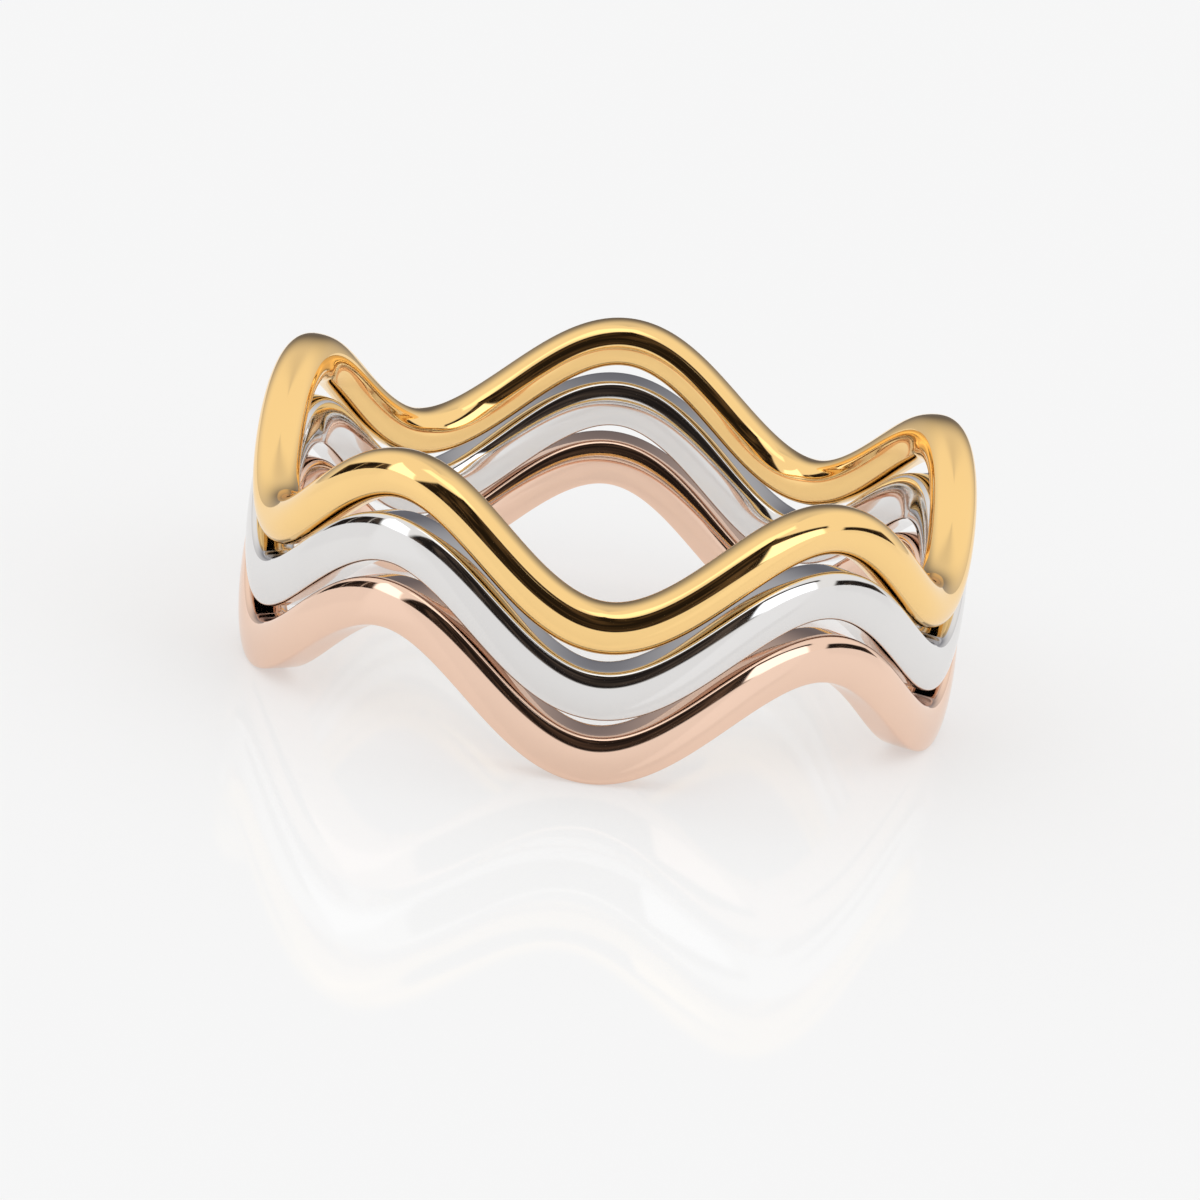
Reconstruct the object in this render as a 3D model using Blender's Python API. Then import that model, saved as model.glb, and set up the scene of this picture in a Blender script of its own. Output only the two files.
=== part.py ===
"""Wave ring: three wavy bands of round wire, nested one on the other.

The yellow gold band is on top, the white gold band in the middle and the rose gold
band at the bottom. Metres, +Z up. The ring lies as it would by itself: the finger
hole runs along Z and the troughs of the rose band stand on the surface, z = 0.
The origin is the centre of that footprint, and one trough faces -Y.
"""

import math

import bmesh
import bpy
from mathutils import Matrix

MM = 0.001

# Finger hole and wire
FINGER_HOLE_DIAMETER = 17.2 * MM
WIRE_DEPTH = 1.28 * MM  # from the finger side to the outer side
WIRE_WIDTH_ON_SLOPES = 1.22 * MM  # across the band's face, between crest and trough
WIRE_WIDTH_AT_CRESTS = 1.32 * MM  # across the band's face, at crests and troughs

# Wave, the same in all three bands
WAVES_AROUND = 5
WAVE_HEIGHT = 2.90 * MM  # crest to trough, along the middle of the wire
FRONT_TROUGH_ANGLE = math.radians(-90)

# Nesting: the clearance is the least one, on the steepest part of the slopes
NEST_CLEARANCE = 0.12 * MM

# Fineness of the solids
STEPS_PER_WAVE = 24
WIRE_SIDES = 14

# The bands from the bottom up: how far each is turned about the finger, and its gold
BANDS = [
    {"name": "rose_band", "turn_deg": 0.0, "colour": (0.83, 0.50, 0.37)},
    {"name": "white_band", "turn_deg": -0.4, "colour": (0.74, 0.72, 0.69)},
    {"name": "yellow_band", "turn_deg": -0.5, "colour": (0.91, 0.60, 0.22)},
]
POLISH_ROUGHNESS = 0.08

MIDDLE_RADIUS = (FINGER_HOLE_DIAMETER + WIRE_DEPTH) / 2
AMPLITUDE = WAVE_HEIGHT / 2
STEEPEST_SLOPE = math.atan(WAVES_AROUND * AMPLITUDE / MIDDLE_RADIUS)


def wave_at(angle):
    """Height of the wave at an angle round the finger, from -1 in a trough to 1 on a crest."""
    return -math.cos(WAVES_AROUND * (angle - FRONT_TROUGH_ANGLE))


def slope_at(angle):
    """Angle at which the band climbs, which is the same on its finger side and outer side."""
    rise = math.sin(WAVES_AROUND * (angle - FRONT_TROUGH_ANGLE))
    return math.atan(math.tan(STEEPEST_SLOPE) * rise)


def wire_width_at(angle):
    """Width of the wire across the band's face: fullest at the crests and troughs."""
    fullness = wave_at(angle) ** 2
    return WIRE_WIDTH_ON_SLOPES + (WIRE_WIDTH_AT_CRESTS - WIRE_WIDTH_ON_SLOPES) * fullness


def wire_section(bm):
    """Oval section of the wire, standing in the XZ plane beside a trough.

    Its width is 1 here and is set when the band is waved. Its sides are turned so that
    the lowest one lies level under each trough, which is what the ring stands on.
    """
    step = math.tau / (WAVES_AROUND * STEPS_PER_WAVE)
    flare = AMPLITUDE / MIDDLE_RADIUS
    level_turn = math.atan(flare * WIRE_DEPTH / WIRE_WIDTH_AT_CRESTS)
    first_corner = -math.pi / 2 + level_turn + math.pi / WIRE_SIDES
    bmesh.ops.create_circle(bm, cap_ends=False, segments=WIRE_SIDES, radius=0.5)
    for vert in bm.verts:
        corner = math.atan2(vert.co.y, vert.co.x) - math.pi / 2 + first_corner
        vert.co = (WIRE_DEPTH * math.cos(corner) / 2, 0, math.sin(corner) / 2)
    bmesh.ops.translate(bm, verts=bm.verts, vec=(MIDDLE_RADIUS, 0, 0))
    beside_trough = Matrix.Rotation(FRONT_TROUGH_ANGLE + step / 2, 3, "Z")
    bmesh.ops.rotate(bm, verts=bm.verts, cent=(0, 0, 0), matrix=beside_trough)


def spin_round_finger(bm):
    """Turn the wire section into a plain closed band."""
    bmesh.ops.spin(
        bm,
        geom=bm.verts[:] + bm.edges[:],
        cent=(0, 0, 0),
        axis=(0, 0, 1),
        angle=math.tau,
        steps=WAVES_AROUND * STEPS_PER_WAVE,
        use_merge=True,
    )


def bend_into_wave(bm):
    """Wave the plain band up and down.

    The wave grows with the distance from the axis, so the band is ruled towards the
    middle of the finger hole, and the wire stays square to its own path.
    """
    for vert in bm.verts:
        x, y, share_of_width = vert.co
        angle = math.atan2(y, x)
        radius = math.hypot(x, y)
        slope = slope_at(angle)
        across = share_of_width * wire_width_at(angle)
        height = AMPLITUDE * wave_at(angle) * radius / MIDDLE_RADIUS + across * math.cos(slope)
        along = -across * math.sin(slope)
        vert.co = (
            x - along * math.sin(angle),
            y + along * math.cos(angle),
            height,
        )


def band_mesh(name):
    bm = bmesh.new()
    wire_section(bm)
    spin_round_finger(bm)
    bend_into_wave(bm)
    bmesh.ops.triangulate(bm, faces=bm.faces)
    bmesh.ops.recalc_face_normals(bm, faces=bm.faces)
    mesh = bpy.data.meshes.new(name)
    bm.to_mesh(mesh)
    bm.free()
    mesh.shade_smooth()
    return mesh


def polished_gold(name, colour):
    material = bpy.data.materials.new(name)
    material.use_nodes = True
    shader = material.node_tree.nodes["Principled BSDF"]
    shader.inputs["Base Color"].default_value = (*colour, 1)
    shader.inputs["Metallic"].default_value = 1
    shader.inputs["Roughness"].default_value = POLISH_ROUGHNESS
    return material


def nest_rise(lower, upper):
    """How far one band sits above the next, touching first on the steepest slopes.

    A difference in turn brings one slope of each wave closer, and is made up in height.
    """
    touching = (WIRE_WIDTH_ON_SLOPES + NEST_CLEARANCE) / math.cos(STEEPEST_SLOPE)
    turned = math.radians(abs(upper["turn_deg"] - lower["turn_deg"]))
    return touching + turned * MIDDLE_RADIUS * math.tan(STEEPEST_SLOPE)


def build_ring():
    for old in list(bpy.data.objects):
        bpy.data.objects.remove(old, do_unlink=True)
    ring = bpy.data.objects.new("wave_ring", None)
    bpy.context.scene.collection.objects.link(ring)
    height = 0
    below = None
    for band in BANDS:
        mesh = band_mesh(band["name"])
        mesh.materials.append(polished_gold(band["name"] + "_gold", band["colour"]))
        if below is None:
            height = -min(vert.co.z for vert in mesh.vertices)
        else:
            height += nest_rise(below, band)
        piece = bpy.data.objects.new(band["name"], mesh)
        bpy.context.scene.collection.objects.link(piece)
        piece.parent = ring
        piece.location.z = height
        piece.rotation_euler.z = math.radians(band["turn_deg"])
        below = band


build_ring()
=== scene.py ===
import math

import bmesh
import bpy
from mathutils import Matrix, Vector


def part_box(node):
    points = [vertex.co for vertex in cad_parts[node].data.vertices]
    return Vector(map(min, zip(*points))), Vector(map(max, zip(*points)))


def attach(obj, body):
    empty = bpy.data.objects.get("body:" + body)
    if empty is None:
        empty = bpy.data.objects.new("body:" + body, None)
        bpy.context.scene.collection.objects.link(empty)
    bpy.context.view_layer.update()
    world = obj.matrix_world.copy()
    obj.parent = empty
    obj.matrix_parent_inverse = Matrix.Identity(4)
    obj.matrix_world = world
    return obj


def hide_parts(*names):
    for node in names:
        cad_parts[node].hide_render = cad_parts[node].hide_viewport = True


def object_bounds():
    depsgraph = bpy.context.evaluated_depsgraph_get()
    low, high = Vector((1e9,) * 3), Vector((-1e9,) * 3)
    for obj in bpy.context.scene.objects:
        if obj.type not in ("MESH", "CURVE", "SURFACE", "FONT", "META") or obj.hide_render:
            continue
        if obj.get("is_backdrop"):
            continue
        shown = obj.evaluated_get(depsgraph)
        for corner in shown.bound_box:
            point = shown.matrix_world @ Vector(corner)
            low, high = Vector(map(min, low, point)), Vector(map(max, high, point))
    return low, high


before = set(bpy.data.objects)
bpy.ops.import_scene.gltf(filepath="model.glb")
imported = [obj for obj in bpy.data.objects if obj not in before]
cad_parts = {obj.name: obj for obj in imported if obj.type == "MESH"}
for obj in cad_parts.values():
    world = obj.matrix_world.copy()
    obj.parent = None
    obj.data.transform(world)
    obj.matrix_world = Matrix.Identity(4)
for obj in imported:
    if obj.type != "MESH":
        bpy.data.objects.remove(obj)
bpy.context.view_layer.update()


# Rose band. The lowest band: a closed loop of rose gold wire with a gently domed face,
# flattened above and below, bent into five waves and polished to a mirror. Its troughs
# stand on the table, and the other bands nest on it. All three have the same wave.
MM = 0.001
FINGER_HOLE_DIAMETER = 17.2 * MM
WIRE_DEPTH = 1.28 * MM
WIRE_WIDTH_ON_SLOPES = 1.22 * MM
WIRE_WIDTH_AT_CRESTS = 1.32 * MM
WAVES_AROUND = 5
WAVE_HEIGHT = 2.90 * MM
FRONT_TROUGH_ANGLE = math.radians(-90)
MIDDLE_RADIUS = (FINGER_HOLE_DIAMETER + WIRE_DEPTH) / 2
AMPLITUDE = WAVE_HEIGHT / 2
STEEPEST_SLOPE = math.atan(WAVES_AROUND * AMPLITUDE / MIDDLE_RADIUS)
OUTWARD_LEAN = 0.35  # how much of the wave's growth towards the outer side the bands have
FLAT_CORNERS = 8  # the higher, the sharper the corners beside the flats
STEPS_PER_WAVE = 120
WIRE_SIDES = 96
MERGE_DISTANCE = 0.001 * MM

TONE_PATCHES_PER_M = 300
TONE_DEPTHS = (0.96, 1.03)
HAZE_SPOTS_PER_M = 4000
HAZE = (0.02, 0.09)
BUFFED_WAVES_PER_M = 450
BUFFED_WAVE_HEIGHT = 0.012 * MM
BUFFED_WAVE_STRENGTH = 0.5

ROSE_TURN = math.radians(0.0)
ROSE_DOME_HEIGHT = 2.24 * MM
ROSE_COLOUR = (0.89, 0.635, 0.495)


def wire_section(bm, dome_height):
    """Section of the wire, 1 wide: part of a taller oval, flattened above and below."""
    bmesh.ops.create_circle(bm, cap_ends=False, segments=WIRE_SIDES, radius=1)
    dome = dome_height / WIRE_WIDTH_AT_CRESTS
    top = dome / (1 + dome ** FLAT_CORNERS) ** (1 / FLAT_CORNERS)
    for vert in bm.verts:
        rise = vert.co.y * dome
        held = rise / (1 + abs(rise) ** FLAT_CORNERS) ** (1 / FLAT_CORNERS)
        vert.co = (vert.co.x * WIRE_DEPTH / 2, 0, held / top / 2)
    bmesh.ops.translate(bm, verts=bm.verts, vec=(MIDDLE_RADIUS, 0, 0))


def turn_about_finger(bm):
    """Plain loop of the wire: one wave's stretch of it, then the rest in copies."""
    one_wave = math.tau / WAVES_AROUND
    turn = {"cent": (0, 0, 0), "axis": (0, 0, 1)}
    start = bm.verts[:] + bm.edges[:]
    bmesh.ops.spin(bm, geom=start, angle=one_wave, steps=STEPS_PER_WAVE, **turn)
    stretch = bm.verts[:] + bm.edges[:] + bm.faces[:]
    rest = WAVES_AROUND - 1
    turn["use_duplicate"] = True
    bmesh.ops.spin(bm, geom=stretch, angle=rest * one_wave, steps=rest, **turn)
    bmesh.ops.remove_doubles(bm, verts=bm.verts, dist=MERGE_DISTANCE)


def bend_into_waves(bm):
    """Wave the plain loop up and down, a little more on its outer side than its inner one."""
    for vert in bm.verts:
        x, y, share_of_width = vert.co
        angle = math.atan2(y, x)
        lean = 1 + OUTWARD_LEAN * (math.hypot(x, y) / MIDDLE_RADIUS - 1)
        wave = -math.cos(WAVES_AROUND * (angle - FRONT_TROUGH_ANGLE))
        rise = math.sin(WAVES_AROUND * (angle - FRONT_TROUGH_ANGLE))
        slope = math.atan(math.tan(STEEPEST_SLOPE) * rise)
        fuller = (WIRE_WIDTH_AT_CRESTS - WIRE_WIDTH_ON_SLOPES) * wave ** 2
        across = share_of_width * (WIRE_WIDTH_ON_SLOPES + fuller)
        along = -across * math.sin(slope)
        height = AMPLITUDE * wave * lean + across * math.cos(slope)
        vert.co = (x - along * math.sin(angle), y + along * math.cos(angle), height)


def waved_band(name, turn, dome_height):
    """A band of the waved wire, turned about the finger and set at its CAD node's height."""
    bm = bmesh.new()
    wire_section(bm, dome_height)
    turn_about_finger(bm)
    bend_into_waves(bm)
    bmesh.ops.recalc_face_normals(bm, faces=bm.faces)
    mesh = bpy.data.meshes.new(name + "_wire")
    bm.to_mesh(mesh)
    bm.free()
    mesh.shade_smooth()
    low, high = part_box(name)
    lift = Matrix.Translation((0, 0, (low.z + high.z) / 2))
    mesh.transform(lift @ Matrix.Rotation(turn, 4, "Z"))
    band = bpy.data.objects.new(name + "_wire", mesh)
    bpy.context.scene.collection.objects.link(band)
    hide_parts(name)
    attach(band, "root")
    return band


def mirror_polish(name, colour):
    """Polished gold: a mirror, faintly uneven in tone and shine, and wavy from the buff."""
    material = bpy.data.materials.new(name)
    material.use_nodes = True
    nodes = material.node_tree.nodes
    links = material.node_tree.links
    gold = nodes["Principled BSDF"]
    gold.inputs["Metallic"].default_value = 1
    place = nodes.new("ShaderNodeTexCoord")

    def unevenness(scale, detail):
        noise = nodes.new("ShaderNodeTexNoise")
        noise.inputs["Scale"].default_value = scale
        noise.inputs["Detail"].default_value = detail
        links.new(place.outputs["Object"], noise.inputs["Vector"])
        return noise.outputs["Fac"]

    tone = nodes.new("ShaderNodeMixRGB")
    links.new(unevenness(TONE_PATCHES_PER_M, 3), tone.inputs["Fac"])
    for socket, depth in zip(("Color1", "Color2"), TONE_DEPTHS):
        tone.inputs[socket].default_value = (*(min(1, depth * share) for share in colour), 1)
    links.new(tone.outputs["Color"], gold.inputs["Base Color"])
    haze = nodes.new("ShaderNodeMapRange")
    haze.inputs["To Min"].default_value, haze.inputs["To Max"].default_value = HAZE
    links.new(unevenness(HAZE_SPOTS_PER_M, 4), haze.inputs["Value"])
    links.new(haze.outputs["Result"], gold.inputs["Roughness"])
    buffing = nodes.new("ShaderNodeBump")
    buffing.inputs["Strength"].default_value = BUFFED_WAVE_STRENGTH
    buffing.inputs["Distance"].default_value = BUFFED_WAVE_HEIGHT
    links.new(unevenness(BUFFED_WAVES_PER_M, 1), buffing.inputs["Height"])
    links.new(buffing.outputs["Normal"], gold.inputs["Normal"])
    return material


rose_band = waved_band("rose_band", ROSE_TURN, ROSE_DOME_HEIGHT)
rose_band.data.materials.append(mirror_polish("rose_gold_polished", ROSE_COLOUR))


# White band. The middle band, of white gold wire of the same section. It is loose on the
# real ring and rests on the slopes of the rose band's waves, so its own waves are turned a
# little from them.
WHITE_TURN = math.radians(-0.4)
WHITE_DOME_HEIGHT = 2.24 * MM
WHITE_COLOUR = (0.78, 0.765, 0.755)

white_band = waved_band("white_band", WHITE_TURN, WHITE_DOME_HEIGHT)
white_band.data.materials.append(mirror_polish("white_gold_polished", WHITE_COLOUR))


# Yellow band. The top band, of yellow gold wire, which rests on the white band's slopes in
# the same way. Its wire is rounder: the oval isn't cut flat above and below.
YELLOW_TURN = math.radians(-0.5)
YELLOW_DOME_HEIGHT = 1.32 * MM
YELLOW_COLOUR = (1.0, 0.67, 0.285)

yellow_band = waved_band("yellow_band", YELLOW_TURN, YELLOW_DOME_HEIGHT)
yellow_band.data.materials.append(mirror_polish("yellow_gold_polished", YELLOW_COLOUR))


# Table. A pale sheet of acrylic that the ring stands on, wide enough to fill the picture. It
# is lit from below as well as from above, which keeps the ring's shadow faint, and its
# polished face mirrors the ring a little.
FLOOR_RADIUS = 0.6
FLOOR_SIDES = 96
SHEET_GREY = (0.50, 0.50, 0.50)
SHEET_GLOW = 0.455
SHEET_GLOSS = 0.06
SHEET_HAZE = 0.05

bm = bmesh.new()
bmesh.ops.create_circle(bm, cap_ends=True, segments=FLOOR_SIDES, radius=FLOOR_RADIUS)
bmesh.ops.translate(bm, verts=bm.verts, vec=(0, 0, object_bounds()[0].z))
floor_mesh = bpy.data.meshes.new("floor")
bm.to_mesh(floor_mesh)
bm.free()
floor = bpy.data.objects.new("floor", floor_mesh)
bpy.context.scene.collection.objects.link(floor)
acrylic = bpy.data.materials.new("lit_white_acrylic")
acrylic.use_nodes = True
acrylic_nodes = acrylic.node_tree.nodes
acrylic_links = acrylic.node_tree.links
acrylic_nodes.clear()
matte = acrylic_nodes.new("ShaderNodeBsdfDiffuse")
matte.inputs["Color"].default_value = (*SHEET_GREY, 1)
glow = acrylic_nodes.new("ShaderNodeEmission")
glow.inputs["Strength"].default_value = SHEET_GLOW
sheet = acrylic_nodes.new("ShaderNodeAddShader")
gloss = acrylic_nodes.new("ShaderNodeBsdfGlossy")
gloss.inputs["Roughness"].default_value = SHEET_HAZE
blend = acrylic_nodes.new("ShaderNodeMixShader")
blend.inputs["Fac"].default_value = SHEET_GLOSS
surface = acrylic_nodes.new("ShaderNodeOutputMaterial")
acrylic_links.new(matte.outputs["BSDF"], sheet.inputs[0])
acrylic_links.new(glow.outputs["Emission"], sheet.inputs[1])
acrylic_links.new(sheet.outputs["Shader"], blend.inputs[1])
acrylic_links.new(gloss.outputs["BSDF"], blend.inputs[2])
acrylic_links.new(blend.outputs["Shader"], surface.inputs["Surface"])
floor_mesh.materials.append(acrylic)
floor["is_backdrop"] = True


# Studio. A pale room that the polished wire mirrors: its dark side is behind the camera,
# with a softbox on either side and a light strip overhead, and the wall behind the ring is
# grey. The table is lit evenly from all round, and the camera sees plain white past it.
WALL = (0.97, 0.96, 0.94)
BACK_WALL = (0.76, 0.76, 0.79)
LOW_WALL = (0.16, 0.16, 0.18)
DARK_ROOM = (0.015, 0.012, 0.011)
DIM_THINGS = (0.110, 0.080, 0.060)
STAND = (0.55, 0.50, 0.45)
SOFTBOX = (1.65, 1.70, 1.75)
LIGHT_STRIP = (1.45, 1.42, 1.36)
EVEN_LIGHT = (1.04, 1.04, 1.04)
TABLE_WHITE = (0.94, 0.94, 0.94)
LAMP_BLUR_DEG = 2.5
STRIP_BLUR_DEG = 5
DARK_BLUR_DEG = 3
STAND_BLUR_DEG = 0.6

# Each of them by its corners, as (azimuth, elevation) from the ring in degrees. Azimuth 0 is
# towards the camera and 90 to the right.
STRIP_OVERHEAD = [(-60, 50), (30, 58), (20, 76), (-60, 70)]
DARK_IN_FRONT = [(-62, -1), (42, 1), (4, 57), (-38, 40)]
DARK_ABOVE_RIGHT_SOFTBOX = [(4, 38), (64, 15), (64, 22), (2, 57)]
DARK_ON_THE_LEFT = [(-124, -8), (-78, -8), (-82, 17), (-124, 9)]
DARK_ON_THE_RIGHT = [(72, -8), (120, -8), (112, 8), (76, 8)]
LEFT_SOFTBOX = [(-79, 2), (-63, -3), (-60, 18), (-82, 36)]
RIGHT_SOFTBOX = [(32, 3), (66, -10), (60, 17), (17, 36)]
STANDS_AT = (-88, -104)
STAND_WIDTH = 1
STAND_ELEVATIONS = (-8, 14)
WALL_BEHIND_FROM = (112, 178)
LOW_WALL_BELOW = (15, 60)
THINGS_SCALE = 6
THINGS_DETAIL = 3
THINGS_SHOW_FROM = (0.42, 0.75)

world = bpy.data.worlds.new("studio")
bpy.context.scene.world = world
world.use_nodes = True
air = world.node_tree.nodes
wires = world.node_tree.links
background = air["Background"]
sky_place = air.new("ShaderNodeTexCoord")
apart = air.new("ShaderNodeSeparateXYZ")
wires.new(sky_place.outputs["Generated"], apart.inputs["Vector"])


def math_node(operation, *values):
    """A world node that works out one number from others, each a socket or a number."""
    node = air.new("ShaderNodeMath")
    node.operation = operation
    for socket, value in zip(node.inputs, values):
        if isinstance(value, (int, float)):
            socket.default_value = value
        else:
            wires.new(value, socket)
    return node.outputs["Value"]


def step_node(value, start, end):
    """0 before start, 1 after end, and smooth between."""
    node = air.new("ShaderNodeMapRange")
    node.interpolation_type = "SMOOTHSTEP"
    wires.new(value, node.inputs["Value"])
    node.inputs["From Min"].default_value = start
    node.inputs["From Max"].default_value = end
    return node.outputs["Result"]


def mix_node(factor, first, second):
    """One colour over another by a factor, each a socket or a colour."""
    node = air.new("ShaderNodeMixRGB")
    wires.new(factor, node.inputs["Fac"])
    for name, value in (("Color1", first), ("Color2", second)):
        if isinstance(value, tuple):
            node.inputs[name].default_value = (*value, 1)
        else:
            wires.new(value, node.inputs[name])
    return node.outputs["Color"]


towards_camera = math_node("MULTIPLY", apart.outputs["Y"], -1)
azimuth = math_node("DEGREES", math_node("ARCTAN2", apart.outputs["X"], towards_camera))
elevation = math_node("DEGREES", math_node("ARCSINE", apart.outputs["Z"]))


def panel(room, colour, corners, blur_deg):
    """The room with one lamp or screen more, from its corners in anticlockwise order."""
    nearest = None
    for (left, low), (right, high) in zip(corners, corners[1:] + corners[:1]):
        reach = math.hypot(right - left, high - low)
        per_azimuth, per_elevation = (low - high) / reach, (right - left) / reach
        start = -(per_azimuth * left + per_elevation * low)
        inside = math_node("MULTIPLY_ADD", azimuth, per_azimuth, start)
        inside = math_node("MULTIPLY_ADD", elevation, per_elevation, inside)
        nearest = inside if nearest is None else math_node("MINIMUM", nearest, inside)
    return mix_node(step_node(nearest, -blur_deg / 2, blur_deg / 2), room, colour)


behind = step_node(math_node("ABSOLUTE", azimuth), *WALL_BEHIND_FROM)
low = math_node("SUBTRACT", 1, step_node(elevation, *LOW_WALL_BELOW))
room = mix_node(behind, WALL, BACK_WALL)
room = mix_node(math_node("MULTIPLY", behind, low), room, LOW_WALL)
things = air.new("ShaderNodeTexNoise")
things.inputs["Scale"].default_value = THINGS_SCALE
things.inputs["Detail"].default_value = THINGS_DETAIL
wires.new(sky_place.outputs["Generated"], things.inputs["Vector"])
dark = mix_node(step_node(things.outputs["Fac"], *THINGS_SHOW_FROM), DARK_ROOM, DIM_THINGS)
room = panel(room, LIGHT_STRIP, STRIP_OVERHEAD, STRIP_BLUR_DEG)
room = panel(room, dark, DARK_IN_FRONT, DARK_BLUR_DEG)
room = panel(room, dark, DARK_ABOVE_RIGHT_SOFTBOX, DARK_BLUR_DEG)
room = panel(room, dark, DARK_ON_THE_LEFT, DARK_BLUR_DEG)
room = panel(room, SOFTBOX, LEFT_SOFTBOX, LAMP_BLUR_DEG)
room = panel(room, SOFTBOX, RIGHT_SOFTBOX, LAMP_BLUR_DEG)
room = panel(room, dark, DARK_ON_THE_RIGHT, DARK_BLUR_DEG)
foot, head = STAND_ELEVATIONS
for left in STANDS_AT:
    right = left + STAND_WIDTH
    stand = [(left, foot), (right, foot), (right, head), (left, head)]
    room = panel(room, STAND, stand, STAND_BLUR_DEG)
wires.new(room, background.inputs["Color"])
path = air.new("ShaderNodeLightPath")
plain = air.new("ShaderNodeBackground")
even = mix_node(path.outputs["Is Camera Ray"], EVEN_LIGHT, TABLE_WHITE)
wires.new(even, plain.inputs["Color"])
mirrored_only = air.new("ShaderNodeMixShader")
wires.new(path.outputs["Is Glossy Ray"], mirrored_only.inputs["Fac"])
wires.new(plain.outputs["Background"], mirrored_only.inputs[1])
wires.new(background.outputs["Background"], mirrored_only.inputs[2])
wires.new(mirrored_only.outputs["Shader"], air["World Output"].inputs["Surface"])
world.cycles.sampling_method = "NONE"
bpy.context.scene.view_settings.view_transform = "Standard"


# Camera. A long lens low above the table, turned and rolled as the photograph is.
VIEW_ELEVATION = math.radians(16.82)
VIEW_TURN = math.radians(-1.72)
VIEW_ROLL = math.radians(7.75)
VIEW_DISTANCE = 170.6 * MM
AIM = Vector((-0.02, -0.50, 2.20)) * MM
LENS_MM = 187.2
SENSOR_MM = 36
NEAREST_SEEN = 0.01
FURTHEST_SEEN = 5

lens = bpy.data.cameras.new("camera")
lens.lens = LENS_MM
lens.sensor_width = SENSOR_MM
lens.clip_start = NEAREST_SEEN
lens.clip_end = FURTHEST_SEEN
camera = bpy.data.objects.new("camera", lens)
bpy.context.scene.collection.objects.link(camera)
camera_turn = (
    Matrix.Rotation(VIEW_TURN, 4, "Z")
    @ Matrix.Rotation(math.pi / 2 - VIEW_ELEVATION, 4, "X")
    @ Matrix.Rotation(VIEW_ROLL, 4, "Z")
)
back = Matrix.Translation((0, 0, VIEW_DISTANCE))
camera.matrix_world = Matrix.Translation(AIM) @ camera_turn @ back
bpy.context.scene.camera = camera

low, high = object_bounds()
